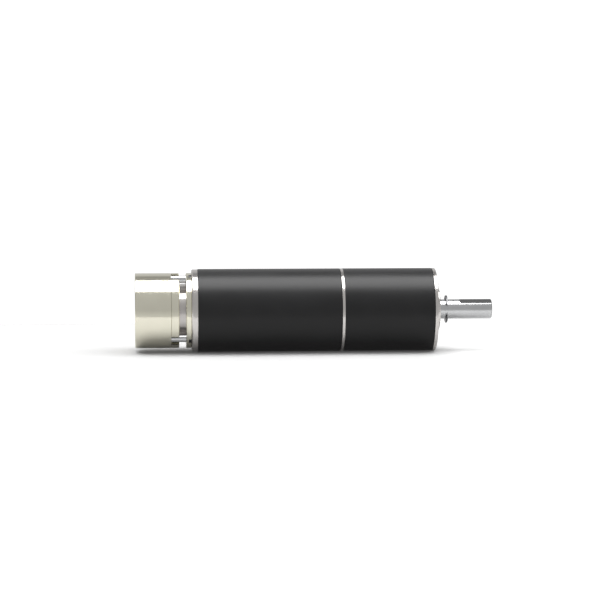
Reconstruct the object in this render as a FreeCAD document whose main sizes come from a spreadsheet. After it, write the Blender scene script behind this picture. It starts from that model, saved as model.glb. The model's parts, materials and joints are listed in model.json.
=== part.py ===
"""Brake, servo motor and two-stage planetary gearbox of 42 mm diameter, as one assembly.

The output shaft points along +X and +Z is up. The origin is the middle of the gearbox's mounting face,
so the output shaft lies at positive x, and the gearbox, motor and brake follow at negative x.
"""
import FreeCAD, Part
import math
import os
import re
import Sketcher

os.makedirs("parts", exist_ok=True)
doc = FreeCAD.newDocument("geared_brake_motor")

# Driving dimensions in millimetres and degrees. Names that end in _at are places along X.
DIMENSIONS = {
    # how far a cut reaches past the faces it opens
    "overcut": 1,
    # gearbox casing
    "casing_od": 42, "rim_bevel": 0.35, "fine_bevel": 0.08, "flange_back_at": -1.74, "casing_bore": 37.5,
    "housing_back_at": -47.1, "boss_od": 22, "boss_front_at": 2, "spigot_back_at": -13,
    "hub_back_at": -12.9, "hub_od": 22.6, "flange_wall": 6.5, "flange_hollow_od": 34,
    "mount_circle": 32, "mount_hole": 3.3, "mount_depth": 5.5, "mount_count": 4,
    # output shaft and its retaining clip
    "shaft_od": 10, "shaft_front_at": 29, "shaft_back_at": -17, "shaft_bevel": 0.4,
    "collar_od": 12.2, "collar_back_at": -13.5, "flat_from_at": 13, "flat_height": 4.45,
    "flat_runout": 1.1, "flat_clear": 0.1, "flat_turn": 23, "clip_back_at": 5.5, "clip_thick": 0.7, "clip_od": 14,
    "groove_od": 9.3, "clip_relief_od": 10.6, "clip_lug": 2.6, "lug_root": 0.4, "clip_mouth": 7.2,
    # output bearings
    "large_bore": 10, "large_od": 19, "large_width": 5, "large_inner_lip": 12.2,
    "large_outer_lip": 16.8, "large_pitch": 14.5, "large_ball": 2.8, "large_count": 10,
    "shield_inset": 0.15, "shield_thick": 0.25, "shield_gap": 0.15,
    "front_bearing_at": -3.6, "rear_bearing_at": -12.7, "bearing_lip_od": 17.4,
    # gear train, both stages
    "gear_module": 0.7, "sun_teeth": 12, "planet_teeth": 18, "ring_teeth": 48, "pressure_angle": 20,
    "addendum": 0.85, "dedendum": 1.05, "flank_play": 0.03, "ring_back_at": -42,
    "planet_circle": 21, "pin_od": 4, "pin_play": 0.03, "washer_od": 8, "washer_thick": 0.4,
    "axial_play": 0.1, "carrier_od": 31.2, "cage_od": 30, "cage_bore": 11.2, "cage_thick": 1.4,
    "stage_two_count": 4, "stage_two_back_at": -26.6, "sun_two_front_at": -17.9,
    "stage_one_count": 3, "carrier_one_front_at": -28.6, "carrier_one_back_at": -31.4,
    "stage_one_back_at": -39.2, "sun_stub_od": 6, "sun_one_front_at": -32.4,
    "sun_one_back_at": -39, "sun_bore": 4, "relief_hole": 5,
    # motor casing
    "shield_back_at": -48.5, "skirt_back_at": -53, "tube_bore": 39, "skirt_bore": 35.6,
    "shield_web_at": -49, "seat_hub_od": 18, "front_seat_at": -46.6, "front_hub_at": -51,
    "tube_back_at": -120.9, "cap_od": 41.6, "cap_back_at": -123.9, "cap_bevel": 0.5,
    "cap_skirt_at": -115.5, "cap_web_at": -119, "cap_hub_at": -116.4, "bearing_recess": 1, "rear_seat_at": -122,
    "shaft_clearance": 6.4,
    # motor
    "rotor_shaft_od": 5, "rotor_shaft_back_at": -128.6, "rotor_step_at": -39.6,
    "rotor_shaft_front_at": -33.2, "rotor_collar_od": 7.2, "small_bore": 5, "small_od": 13,
    "small_width": 4, "small_inner_lip": 7.5, "small_outer_lip": 10.6, "small_pitch": 9,
    "small_ball": 2.2, "small_count": 8, "wave_thick": 0.3, "wave_height": 0.55,
    "wave_rim_gap": 0.1, "wave_bore_gap": 0.05, "wave_seat_gap": 0.02,
    "stack_back_at": -102, "stack_front_at": -64, "stack_bore": 19.4, "tooth_count": 9,
    "slot_mouth": 1.7, "slot_inner": 11.2, "slot_outer": 17, "slot_foot": 2.25, "slot_head": 4.35,
    "slot_taper": 0.9, "coil_width": 7, "coil_hole": 3.8, "coil_overhang": 2.8,
    "coil_gap": 0.3, "coil_inner": 11.8, "coil_height": 4.7, "coil_corner": 1.5,
    "insulator_bore": 33.8, "insulator_od": 38.8, "insulator_front": 3.2, "board_od": 37,
    "board_bore": 14, "board_front_at": -109, "board_thick": 1.2, "sensor_reach": 3.7,
    "sensor_width": 3, "sensor_thick": 1.4, "sensor_circle": 17.2, "sensor_count": 3,
    "core_od": 16, "core_back_at": -101, "core_front_at": -65, "magnet_od": 18.4,
    "magnet_back_at": -104.6, "magnet_count": 8, "magnet_arc": 42,
    # brake
    "brake_od": 38, "plate_back_at": -126.7, "brake_bevel": 0.3, "plate_bore": 12,
    "flange_screw_circle": 29, "flange_screw_head": 4.2, "flange_screw_seat": 1.5, "flange_screw_sunk": 0.15,
    "screw_od": 2.5, "flange_screw_tip_at": -119.4, "hub_across": 10, "hub_front_at": -124.3,
    "disc_od": 27, "lining_bore": 16, "lining_od": 22.4, "lining_thick": 0.7, "lining_proud": 0.04,
    "lining_front_at": -126.74, "lining_back_at": -130.16, "hex_play": 0.1, "disc_slot_width": 5.7,
    "disc_slot_depth": 2, "disc_slot_count": 4, "disc_turn": 46, "armature_front_at": -130.2, "armature_back_at": -134.1,
    "armature_bore": 13, "notch_width": 6.8, "notch_floor": 15.2,
    "guide_circle": 34.4, "guide_turn": 109.5, "guide_count": 3, "sleeve_od": 3.7, "sleeve_bore": 2.6,
    "magnet_front_at": -134.2, "magnet_end_at": -152.4,
    "coil_pocket_bore": 18, "coil_pocket_od": 27.2, "coil_pocket_depth": 11.8,
    "brake_coil_play": 0.2, "brake_coil_inset": 0.9, "centre_bore": 9.6, "centre_depth": 14,
    "screw_hole": 2.8, "counterbore": 4.5, "counterbore_depth": 1.5, "screw_head": 4.3,
    "screw_head_length": 1.3, "key_across": 1.5, "key_depth": 0.8, "screw_tip_at": -142, "thread_spare": 0.5,
    "spring_circle": 13.6, "spring_hole": 2.6, "spring_depth": 8, "spring_coil": 1.9,
    "spring_wire": 0.42, "spring_turns": 7, "spring_count": 6, "spring_inset": 0.05,
    "end_dish_od": 26, "end_dish_depth": 0.6,
    # lead outlets
    "lead_hole": 3.6, "lead_bore": 2, "lead_motor_at": -112.85, "lead_brake_circle": 22,
    "lead_lip": 4.8, "lead_lip_inset": 0.7, "lead_bush_sunk": 0.4,
}

dims = doc.addObject("Spreadsheet::Sheet", "Dims")
for row, (alias, number) in enumerate(DIMENSIONS.items(), 1):
    dims.set(f"A{row}", alias)
    dims.set(f"B{row}", str(number))
    dims.setAlias(f"B{row}", alias)
doc.recompute()

ALIAS = re.compile(r"\b(" + "|".join(DIMENSIONS) + r")\b")
pieces = []


# ---------------------------------------------------------------- helpers

def on_sheet(expression):
    """The expression with each alias pointed at the sheet."""
    return ALIAS.sub(r"Dims.\1", str(expression))


def value(expression):
    """The number that an expression of sheet aliases comes to."""
    return float(dims.evalExpression(on_sheet(expression)))


def bind(target, **settings):
    """Bind properties to expressions; a double underscore in a name stands for a dot."""
    for path, expression in settings.items():
        target.setExpression(path.replace("__", "."), on_sheet(expression))
    return target


def turn_about_x(target, angle):
    """Turn an object about the X axis by an expression in degrees."""
    target.Placement = FreeCAD.Placement(FreeCAD.Vector(), FreeCAD.Rotation(FreeCAD.Vector(1, 0, 0), 90))
    return bind(target, Placement__Rotation__Angle=angle)


def piece(target, label):
    """Name an object as a sub-part, which is written to a file of its own."""
    target.Label = label
    pieces.append(target)
    return target


def body(label):
    """A new body that may hold several equal solids."""
    new = doc.addObject("PartDesign::Body", label)
    new.AllowCompound = True
    return piece(new, label)


def origin_feature(owner, role):
    """A plane or axis of a body's own origin."""
    return next(item for item in owner.Origin.OriginFeatures if item.Role == role)


def sketch(owner, name, plane, **offset):
    """An empty sketch on one of the body's origin planes, moved by expressions."""
    new = owner.newObject("Sketcher::SketchObject", name)
    new.AttachmentSupport = [(origin_feature(owner, plane), "")]
    new.MapMode = "FlatFace"
    for axis, expression in offset.items():
        new.setExpression(f".AttachmentOffset.Base.{axis}", on_sheet(expression))
    return new


def fix_point(target, geometry, corner, name, across, up):
    """Bind one point of a sketch to two expressions."""
    for kind, prefix, expression in (("DistanceX", "x", across), ("DistanceY", "y", up)):
        index = target.addConstraint(Sketcher.Constraint(kind, -1, 1, geometry, corner, value(expression)))
        target.renameConstraint(index, f"{prefix}{name}")
        target.setExpression(f"Constraints.{prefix}{name}", on_sheet(expression))


def polygon(target, corners):
    """A closed outline of straight lines through corners given as pairs of expressions."""
    spots = [FreeCAD.Vector(value(across), value(up), 0) for across, up in corners]
    count = len(corners)
    for index in range(count):
        target.addGeometry(Part.LineSegment(spots[index], spots[(index + 1) % count]), False)
    for index in range(count):
        target.addConstraint(Sketcher.Constraint("Coincident", index, 2, (index + 1) % count, 1))
    for index, (across, up) in enumerate(corners):
        fix_point(target, index, 1, str(index), across, up)
    return target


def circles(target, centres, radius):
    """Circles of one radius round centres given as pairs of expressions."""
    for index, (across, up) in enumerate(centres):
        middle = FreeCAD.Vector(value(across), value(up), 0)
        target.addGeometry(Part.Circle(middle, FreeCAD.Vector(0, 0, 1), value(radius)), False)
        fix_point(target, index, 3, str(index), across, up)
        size = target.addConstraint(Sketcher.Constraint("Radius", index, value(radius)))
        target.renameConstraint(size, f"size{index}")
        target.setExpression(f"Constraints.size{index}", on_sheet(radius))
    return target


def revolve(owner, name, corners, out="0", kind="Revolution", angle=360):
    """Turn an (x, radius) outline about the X axis, or about a parallel at distance out."""
    profile = polygon(sketch(owner, f"{name}_outline", "XY_Plane", y=out), corners)
    new = owner.newObject(f"PartDesign::{kind}", name)
    new.Profile = profile
    new.ReferenceAxis = (profile, ["H_Axis"])
    new.Angle = 360
    if angle != 360:
        new.Midplane = True
        bind(new, Angle=angle)
    return new


def turned(label, corners, out="0", angle=360):
    """A sub-part turned from one (x, radius) outline."""
    owner = body(label)
    revolve(owner, f"{label}_turning", corners, out, "Revolution", angle)
    return owner


def tube_corners(back, front, inner, outer):
    """The outline of a plain ring between two places and two diameters."""
    return [(back, f"{inner} / 2"), (back, f"{outer} / 2"), (front, f"{outer} / 2"), (front, f"{inner} / 2")]


def rod_corners(back, front, diameter):
    """The outline of a plain round bar."""
    return [(back, "0"), (back, f"{diameter} / 2"), (front, f"{diameter} / 2"), (front, "0")]


def cut_rearward(owner, name, drawn, start, depth):
    """Sink a drawn outline on the YZ plane from a place toward the rear."""
    profile = sketch(owner, f"{name}_outline", "YZ_Plane", z=start)
    drawn(profile)
    new = owner.newObject("PartDesign::Pocket", name)
    new.Profile = profile
    bind(new, Length=depth)
    return new


def repeat(owner, features, count):
    """Repeat features evenly about the X axis."""
    doc.recompute()
    pattern = owner.newObject("PartDesign::PolarPattern", f"{owner.Name}_pattern")
    pattern.Originals = features
    pattern.Axis = (origin_feature(owner, "X_Axis"), [""])
    pattern.Angle = 360
    bind(pattern, Occurrences=count)
    owner.Tip = pattern
    return pattern


def holes(owner, name, circle, diameter, start, depth, count):
    """A ring of equal round holes, drilled from a place toward the rear."""
    first = cut_rearward(owner, name, lambda target: circles(target, [(f"{circle} / 2", "0")], f"{diameter} / 2"),
                         start, depth)
    return repeat(owner, [first], count)


def hexagon(across):
    """Corners of a hexagon of a given width across its corners."""
    return [(f"{across} / 2 * cos({60 * corner})", f"{across} / 2 * sin({60 * corner})") for corner in range(6)]


# ---------------------------------------------------------------- gear teeth

def involute(angle):
    """The involute function of an angle in radians."""
    return math.tan(angle) - angle


def spot(radius, angle):
    """A point of the YZ plane from its radius and its angle in radians."""
    return FreeCAD.Vector(0, radius * math.cos(angle), radius * math.sin(angle))


def tooth_wire(teeth, low, high, play):
    """Closed outline of involute teeth between two radii, thinned by the play on each flank.

    Each flank is an arc through three points of the involute, with a radial foot inside the base circle.
    """
    pitch = value("gear_module") * teeth / 2
    pressure = math.radians(value("pressure_angle"))
    base = pitch * math.cos(pressure)
    foot = max(low, base)
    half_at_pitch = math.pi / (2 * teeth) - play / pitch

    def half_tooth(radius):
        return half_at_pitch + involute(pressure) - involute(math.acos(base / radius))

    radii = (foot, (foot + high) / 2, high)
    step = 2 * math.pi / teeth
    edges = []
    for tooth in range(teeth):
        middle = tooth * step
        rising = [spot(radius, middle - half_tooth(radius)) for radius in radii]
        falling = [spot(radius, middle + half_tooth(radius)) for radius in reversed(radii)]
        next_foot = spot(low, middle + step - half_tooth(foot))
        if foot > low:
            edges.append(Part.LineSegment(spot(low, middle - half_tooth(foot)), rising[0]))
        edges.append(Part.Arc(*rising))
        edges.append(Part.Arc(rising[-1], spot(high, middle), falling[0]))
        edges.append(Part.Arc(*falling))
        if foot > low:
            edges.append(Part.LineSegment(falling[-1], spot(low, middle + half_tooth(foot))))
        edges.append(Part.Arc(spot(low, middle + half_tooth(foot)), spot(low, middle + step / 2), next_foot))
    return Part.Wire([edge.toShape() for edge in edges])


def circle_wire(diameter):
    """A round outline about the X axis."""
    return Part.Wire(Part.makeCircle(value(diameter) / 2, FreeCAD.Vector(), FreeCAD.Vector(1, 0, 0)))


def gear_face(name, wires):
    """A helper outline, from wires of which the first is the outer one."""
    face = doc.addObject("Part::Feature", f"{name}_outline")
    face.Shape = Part.makeFace(wires, "Part::FaceMakerBullseye")
    return face


def extruded(name, face, back, front):
    """A prism along X between two places."""
    new = doc.addObject("Part::Extrusion", name)
    new.Base = face
    new.DirMode = "Custom"
    new.Dir = FreeCAD.Vector(1, 0, 0)
    new.Solid = True
    return bind(new, LengthFwd=f"{front} - {back}", Placement__Base__x=back)


def external_gear_wire(teeth_alias):
    """Outline of an external gear of the set."""
    teeth = int(value(teeth_alias))
    pitch = value(f"gear_module * {teeth} / 2")
    return tooth_wire(teeth, pitch - value("dedendum * gear_module"), pitch + value("addendum * gear_module"),
                      value("flank_play"))


def ring_gear():
    """Internal gear that both stages run in; its tooth spaces have the outline of external teeth."""
    teeth = int(value("ring_teeth"))
    pitch = value("gear_module * ring_teeth / 2")
    spaces = tooth_wire(teeth, pitch - value("addendum * gear_module"), pitch + value("dedendum * gear_module"), 0)
    face = gear_face("ring_gear", [circle_wire("casing_bore"), spaces])
    piece(extruded("ring_gear", face, "ring_back_at", "spigot_back_at"), "ring_gear")


def planet_gears(stage, count, back, front):
    """The planets of one stage, each turned so that its teeth meet the sun's and the ring's."""
    face = gear_face(f"planet_{stage}", [external_gear_wire("planet_teeth"), circle_wire("pin_od + 2 * pin_play")])
    for index in range(int(value(count))):
        label = f"planet_gear_{stage}{'abcd'[index]}"
        angle = f"(360 / {count} * {index})"
        planet = piece(extruded(label, face, back, front), label)
        planet.Placement.Rotation = FreeCAD.Rotation(FreeCAD.Vector(1, 0, 0), 90)
        bind(planet, Placement__Rotation__Angle=f"{angle} * (1 - ring_teeth / planet_teeth)",
             Placement__Base__y=f"planet_circle / 2 * cos({angle})",
             Placement__Base__z=f"planet_circle / 2 * sin({angle})")


def sun_gear_1():
    """Pinion on the motor shaft, with a gap between teeth at angle zero."""
    face = gear_face("sun_1", [external_gear_wire("sun_teeth"), circle_wire("sun_bore")])
    sun = piece(extruded("sun_gear_1", face, "sun_one_back_at", "sun_one_front_at"), "sun_gear_1")
    sun.Placement.Rotation = FreeCAD.Rotation(FreeCAD.Vector(1, 0, 0), 90)
    bind(sun, Placement__Rotation__Angle="180 / sun_teeth")


def sun_gear_2():
    """Pinion of the second stage, with the stub that is pressed into the first carrier."""
    face = gear_face("sun_2", [external_gear_wire("sun_teeth")])
    teeth = extruded("sun_gear_2_teeth", face, "carrier_one_front_at", "sun_two_front_at")
    teeth.Placement.Rotation = FreeCAD.Rotation(FreeCAD.Vector(1, 0, 0), 90)
    bind(teeth, Placement__Rotation__Angle="180 / sun_teeth")
    stub = cylinder("sun_gear_2_stub", "sun_stub_od", "carrier_one_back_at", "carrier_one_front_at")
    fused = doc.addObject("Part::Fuse", "sun_gear_2")
    fused.Base = teeth
    fused.Tool = stub
    piece(fused, "sun_gear_2")


def cylinder(name, diameter, back, front):
    """A bar along X as a Part primitive."""
    new = doc.addObject("Part::Cylinder", name)
    new.Placement.Rotation = FreeCAD.Rotation(FreeCAD.Vector(0, 1, 0), 90)
    return bind(new, Radius=f"{diameter} / 2", Height=f"{front} - {back}", Placement__Base__x=back)


# ---------------------------------------------------------------- gearbox casing

def gearbox_housing():
    """Black tube round the gear train, bevelled at both ends."""
    turned("gearbox_housing", [
        ("housing_back_at", "casing_bore / 2"),
        ("housing_back_at", "casing_od / 2 - fine_bevel"),
        ("housing_back_at + fine_bevel", "casing_od / 2"),
        ("flange_back_at - rim_bevel", "casing_od / 2"),
        ("flange_back_at", "casing_od / 2 - rim_bevel"),
        ("flange_back_at", "casing_bore / 2"),
    ])


def front_flange():
    """Front cover with the pilot boss, the output bearing seats and four tapped mounting holes."""
    owner = turned("front_flange", [
        ("boss_front_at", "large_od / 2"),
        ("boss_front_at", "boss_od / 2 - rim_bevel"),
        ("boss_front_at - rim_bevel", "boss_od / 2"),
        ("0", "boss_od / 2"),
        ("0", "casing_od / 2 - rim_bevel"),
        ("-rim_bevel", "casing_od / 2"),
        ("flange_back_at", "casing_od / 2"),
        ("flange_back_at", "casing_bore / 2"),
        ("spigot_back_at", "casing_bore / 2"),
        ("spigot_back_at", "flange_hollow_od / 2"),
        ("-flange_wall", "flange_hollow_od / 2"),
        ("-flange_wall", "hub_od / 2"),
        ("hub_back_at", "hub_od / 2"),
        ("hub_back_at", "large_od / 2"),
        ("rear_bearing_at + large_width", "large_od / 2"),
        ("rear_bearing_at + large_width", "bearing_lip_od / 2"),
        ("front_bearing_at", "bearing_lip_od / 2"),
        ("front_bearing_at", "large_od / 2"),
    ])
    holes(owner, "mount_holes", "mount_circle", "mount_hole", "0", "mount_depth", "mount_count")
    turn_about_x(owner, "45")


# ---------------------------------------------------------------- rolling bearings

def grooved_ring(label, corners, size, middle):
    """A bearing ring with the ball track cut as a full circle about the ball pitch."""
    owner = turned(label, corners)
    track = circles(sketch(owner, f"{label}_track", "XY_Plane"), [(middle, f"{size}_pitch / 2")],
                    f"{size}_ball / 2 + pin_play")
    groove = owner.newObject("PartDesign::Groove", f"{label}_groove")
    groove.Profile = track
    groove.ReferenceAxis = (track, ["H_Axis"])
    groove.Angle = 360


def bearing(prefix, size, back, shielded):
    """Outer ring, inner ring, balls and, where they can be seen, the shields."""
    front = f"({back} + {size}_width)"
    middle = f"({back} + {size}_width / 2)"
    outer = tube_corners(back, front, f"{size}_outer_lip", f"{size}_od")
    inner = tube_corners(back, front, f"{size}_bore", f"{size}_inner_lip")
    grooved_ring(f"{prefix}_outer_ring", outer, size, middle)
    grooved_ring(f"{prefix}_inner_ring", inner, size, middle)
    balls = body(f"{prefix}_balls")
    ball = balls.newObject("PartDesign::AdditiveSphere", f"{prefix}_ball")
    bind(ball, Radius=f"{size}_ball / 2", Placement__Base__x=middle, Placement__Base__y=f"{size}_pitch / 2")
    repeat(balls, [ball], f"{size}_count")
    if shielded:
        bearing_shields(f"{prefix}_shields", size, back, front)


def bearing_shields(label, size, back, front):
    """Two thin washers that close the space between the rings."""
    owner = body(label)
    inner = f"({size}_inner_lip + 2 * shield_gap)"
    outer = f"{size}_outer_lip"
    revolve(owner, "shield_front", tube_corners(f"{front} - shield_inset - shield_thick",
                                                f"{front} - shield_inset", inner, outer))
    revolve(owner, "shield_back", tube_corners(f"{back} + shield_inset",
                                               f"{back} + shield_inset + shield_thick", inner, outer))


def bearing_spacer():
    """Sleeve between the inner rings of the two output bearings."""
    turned("bearing_spacer", tube_corners("rear_bearing_at + large_width", "front_bearing_at",
                                          "shaft_od", "large_inner_lip"))


# ---------------------------------------------------------------- output side

def output_shaft():
    """Output shaft with a collar, a clip groove and a driving flat with a sloping run-out."""
    owner = turned("output_shaft", [
        ("shaft_back_at", "0"),
        ("shaft_back_at", "shaft_od / 2"),
        ("collar_back_at", "shaft_od / 2"),
        ("collar_back_at", "collar_od / 2"),
        ("rear_bearing_at", "collar_od / 2"),
        ("rear_bearing_at", "shaft_od / 2"),
        ("clip_back_at", "shaft_od / 2"),
        ("clip_back_at", "groove_od / 2"),
        ("clip_back_at + clip_thick", "groove_od / 2"),
        ("clip_back_at + clip_thick", "shaft_od / 2"),
        ("shaft_front_at - shaft_bevel", "shaft_od / 2"),
        ("shaft_front_at", "shaft_od / 2 - shaft_bevel"),
        ("shaft_front_at", "0"),
    ])
    flat = polygon(sketch(owner, "flat_outline", "XY_Plane"), [
        ("flat_from_at - flat_runout", "shaft_od / 2 + flat_clear"),
        ("flat_from_at", "flat_height"),
        ("shaft_front_at + overcut", "flat_height"),
        ("shaft_front_at + overcut", "shaft_od / 2 + flat_clear"),
    ])
    cut = owner.newObject("PartDesign::Pocket", "driving_flat")
    cut.Profile = flat
    cut.Midplane = True
    bind(cut, Length="shaft_od")
    turn_about_x(owner, "flat_turn + 90")


def retaining_clip():
    """E-shaped spring clip in the shaft groove: a plate with a relief, three lugs and a mouth."""
    ends = ("clip_back_at", "clip_back_at + clip_thick")
    rim = doc.addObject("Part::Cut", "clip_rim")
    rim.Base = cylinder("clip_plate", "clip_od", *ends)
    rim.Tool = cylinder("clip_relief", "clip_relief_od", *ends)
    lugs = []
    for index, angle in enumerate((0, 110, -110)):
        lug = doc.addObject("Part::Box", f"clip_lug_{index}")
        lug.Placement.Rotation = FreeCAD.Rotation(FreeCAD.Vector(1, 0, 0), 90)
        bind(lug, Length="clip_thick", Width="clip_relief_od / 2 + lug_root", Height="clip_lug",
             Placement__Rotation__Angle=angle, Placement__Base__x="clip_back_at",
             Placement__Base__y=f"clip_lug / 2 * sin({angle})", Placement__Base__z=f"-clip_lug / 2 * cos({angle})")
        lugs.append(lug)
    joined = doc.addObject("Part::MultiFuse", "clip_joined")
    joined.Shapes = [rim] + lugs
    mouth = doc.addObject("Part::Box", "clip_mouth_box")
    bind(mouth, Length="clip_thick", Width="clip_od", Height="clip_mouth", Placement__Base__x="clip_back_at",
         Placement__Base__y="-clip_od", Placement__Base__z="-clip_mouth / 2")
    tools = doc.addObject("Part::MultiFuse", "clip_tools")
    tools.Shapes = [mouth, cylinder("clip_seat", "groove_od", *ends)]
    clip = doc.addObject("Part::Cut", "retaining_clip")
    clip.Base = joined
    clip.Tool = tools
    piece(clip, "retaining_clip")


def output_carrier():
    """Carrier of the second stage, pressed on the output shaft."""
    owner = turned("output_carrier", tube_corners("shaft_back_at", "collar_back_at", "shaft_od", "carrier_od"))
    holes(owner, "output_pin_holes", "planet_circle", "pin_od", "collar_back_at + overcut",
          "collar_back_at - shaft_back_at + 2 * overcut", "stage_two_count")


def cage_plate(label, back, count):
    """Ring that carries the free ends of a stage's planet pins."""
    owner = turned(label, tube_corners(back, f"{back} + cage_thick", "cage_bore", "cage_od"))
    holes(owner, f"{label}_holes", "planet_circle", "pin_od", f"{back} + cage_thick + overcut",
          "cage_thick + 2 * overcut", count)


def planet_pins(label, back, front, count):
    """The pins of one stage."""
    owner = turned(label, rod_corners(back, front, "pin_od"), "planet_circle / 2")
    repeat(owner, [owner.Tip], count)


def planet_washers(label, back, front, count):
    """A washer at each end of each planet of one stage."""
    owner = turned(label, tube_corners(back, f"{back} + washer_thick", "pin_od", "washer_od"), "planet_circle / 2")
    second = revolve(owner, f"{label}_front", tube_corners(f"{front} - washer_thick", front, "pin_od", "washer_od"),
                     "planet_circle / 2")
    first = owner.Group[1]
    repeat(owner, [first, second], count)


def carrier_1():
    """Carrier of the first stage, with the bore for the second sun and three lightening holes."""
    owner = turned("carrier_1", tube_corners("carrier_one_back_at", "carrier_one_front_at",
                                             "sun_stub_od", "carrier_od"))
    depth = "carrier_one_front_at - carrier_one_back_at + 2 * overcut"
    start = "carrier_one_front_at + overcut"
    pins = cut_rearward(owner, "carrier_pin_hole",
                        lambda target: circles(target, [("planet_circle / 2", "0")], "pin_od / 2"), start, depth)
    relief = cut_rearward(owner, "carrier_relief_hole",
                          lambda target: circles(target, [("planet_circle / 4", "planet_circle / 2 * sin(60)")],
                                                 "relief_hole / 2"), start, depth)
    repeat(owner, [pins, relief], "stage_one_count")


def gear_train():
    """Both planetary stages."""
    ring_gear()
    sun_gear_1()
    planet_gears("1", "stage_one_count", "(stage_one_back_at + washer_thick + axial_play)",
                 "(carrier_one_back_at - washer_thick - axial_play)")
    planet_pins("planet_pins_1", "stage_one_back_at - cage_thick", "carrier_one_front_at", "stage_one_count")
    planet_washers("planet_washers_1", "stage_one_back_at", "carrier_one_back_at", "stage_one_count")
    cage_plate("carrier_plate_1", "stage_one_back_at - cage_thick", "stage_one_count")
    carrier_1()
    sun_gear_2()
    planet_gears("2", "stage_two_count", "(stage_two_back_at + washer_thick + axial_play)",
                 "(shaft_back_at - washer_thick - axial_play)")
    planet_pins("planet_pins_2", "stage_two_back_at - cage_thick", "collar_back_at", "stage_two_count")
    planet_washers("planet_washers_2", "stage_two_back_at", "shaft_back_at", "stage_two_count")
    cage_plate("carrier_plate_2", "stage_two_back_at - cage_thick", "stage_two_count")
    output_carrier()


# ---------------------------------------------------------------- motor casing

def motor_front_shield():
    """Adapter between gearbox and motor: its bright rim shows, and it seats the front motor bearing."""
    turned("motor_front_shield", [
        ("ring_back_at", "shaft_clearance / 2"),
        ("ring_back_at", "casing_bore / 2"),
        ("housing_back_at", "casing_bore / 2"),
        ("housing_back_at", "casing_od / 2 - fine_bevel"),
        ("housing_back_at - fine_bevel", "casing_od / 2"),
        ("shield_back_at + fine_bevel", "casing_od / 2"),
        ("shield_back_at", "casing_od / 2 - fine_bevel"),
        ("shield_back_at", "tube_bore / 2"),
        ("skirt_back_at", "tube_bore / 2"),
        ("skirt_back_at", "skirt_bore / 2"),
        ("shield_web_at", "skirt_bore / 2"),
        ("shield_web_at", "seat_hub_od / 2"),
        ("front_hub_at", "seat_hub_od / 2"),
        ("front_hub_at", "small_od / 2"),
        ("front_seat_at", "small_od / 2"),
        ("front_seat_at", "shaft_clearance / 2"),
    ])


def motor_tube():
    """Black motor casing with a lead outlet through its far wall."""
    owner = turned("motor_tube", [
        ("tube_back_at", "tube_bore / 2"),
        ("tube_back_at", "casing_od / 2 - rim_bevel"),
        ("tube_back_at + rim_bevel", "casing_od / 2"),
        ("shield_back_at - rim_bevel", "casing_od / 2"),
        ("shield_back_at", "casing_od / 2 - rim_bevel"),
        ("shield_back_at", "tube_bore / 2"),
    ])
    outlet = circles(sketch(owner, "lead_outlet_outline", "XZ_Plane", z="-casing_od / 2 - overcut"),
                     [("lead_motor_at", "0")], "lead_hole / 2")
    cut = owner.newObject("PartDesign::Pocket", "lead_outlet")
    cut.Profile = outlet
    cut.Reversed = True
    bind(cut, Length="(casing_od - tube_bore) / 2 + 2 * overcut")


def rear_end_cap():
    """Rear motor cover, with the rear bearing seat and the tapped holes for the brake."""
    owner = turned("rear_end_cap", [
        ("cap_back_at", "shaft_clearance / 2"),
        ("cap_back_at", "cap_od / 2 - cap_bevel"),
        ("cap_back_at + cap_bevel", "cap_od / 2"),
        ("tube_back_at", "cap_od / 2"),
        ("tube_back_at", "tube_bore / 2"),
        ("cap_skirt_at", "tube_bore / 2"),
        ("cap_skirt_at", "skirt_bore / 2"),
        ("cap_web_at", "skirt_bore / 2"),
        ("cap_web_at", "seat_hub_od / 2"),
        ("cap_hub_at", "seat_hub_od / 2"),
        ("cap_hub_at", "small_od / 2"),
        ("rear_seat_at", "small_od / 2"),
        ("rear_seat_at", "shaft_clearance / 2"),
    ])
    holes(owner, "flange_threads", "flange_screw_circle", "screw_od", "cap_web_at + overcut",
          "cap_web_at - cap_back_at + 2 * overcut", "guide_count")
    turn_about_x(owner, "guide_turn + 180 / guide_count")


def wave_washer():
    """Spring washer behind the rear motor bearing: a ring whose face waves by half its height."""
    outer = value("small_od") / 2 - value("wave_rim_gap")
    inner = value("small_outer_lip") / 2 + value("wave_bore_gap")
    thick = value("wave_thick")
    swing = (value("wave_height") - thick) / 2
    middle_at = value("rear_seat_at") + value("wave_height") / 2 + value("wave_seat_gap")
    waves = 3
    steps = 36

    def rim(radius, side):
        points = []
        for step in range(steps):
            angle = 2 * math.pi * step / steps
            lift = swing * math.cos(waves * angle) + side * thick / 2
            points.append(spot(radius, angle) + FreeCAD.Vector(middle_at + lift, 0, 0))
        curve = Part.BSplineCurve()
        curve.interpolate(points, PeriodicFlag=True)
        return curve.toShape()

    loops = [rim(outer, 1), rim(outer, -1), rim(inner, -1), rim(inner, 1)]
    faces = [Part.makeRuledSurface(loops[index], loops[(index + 1) % 4]) for index in range(4)]
    washer = doc.addObject("Part::Feature", "wave_washer")
    washer.Shape = Part.makeSolid(Part.makeShell(faces))
    if washer.Shape.Volume < 0:
        washer.Shape = washer.Shape.reversed()
    piece(washer, "wave_washer")


# ---------------------------------------------------------------- motor

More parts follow.
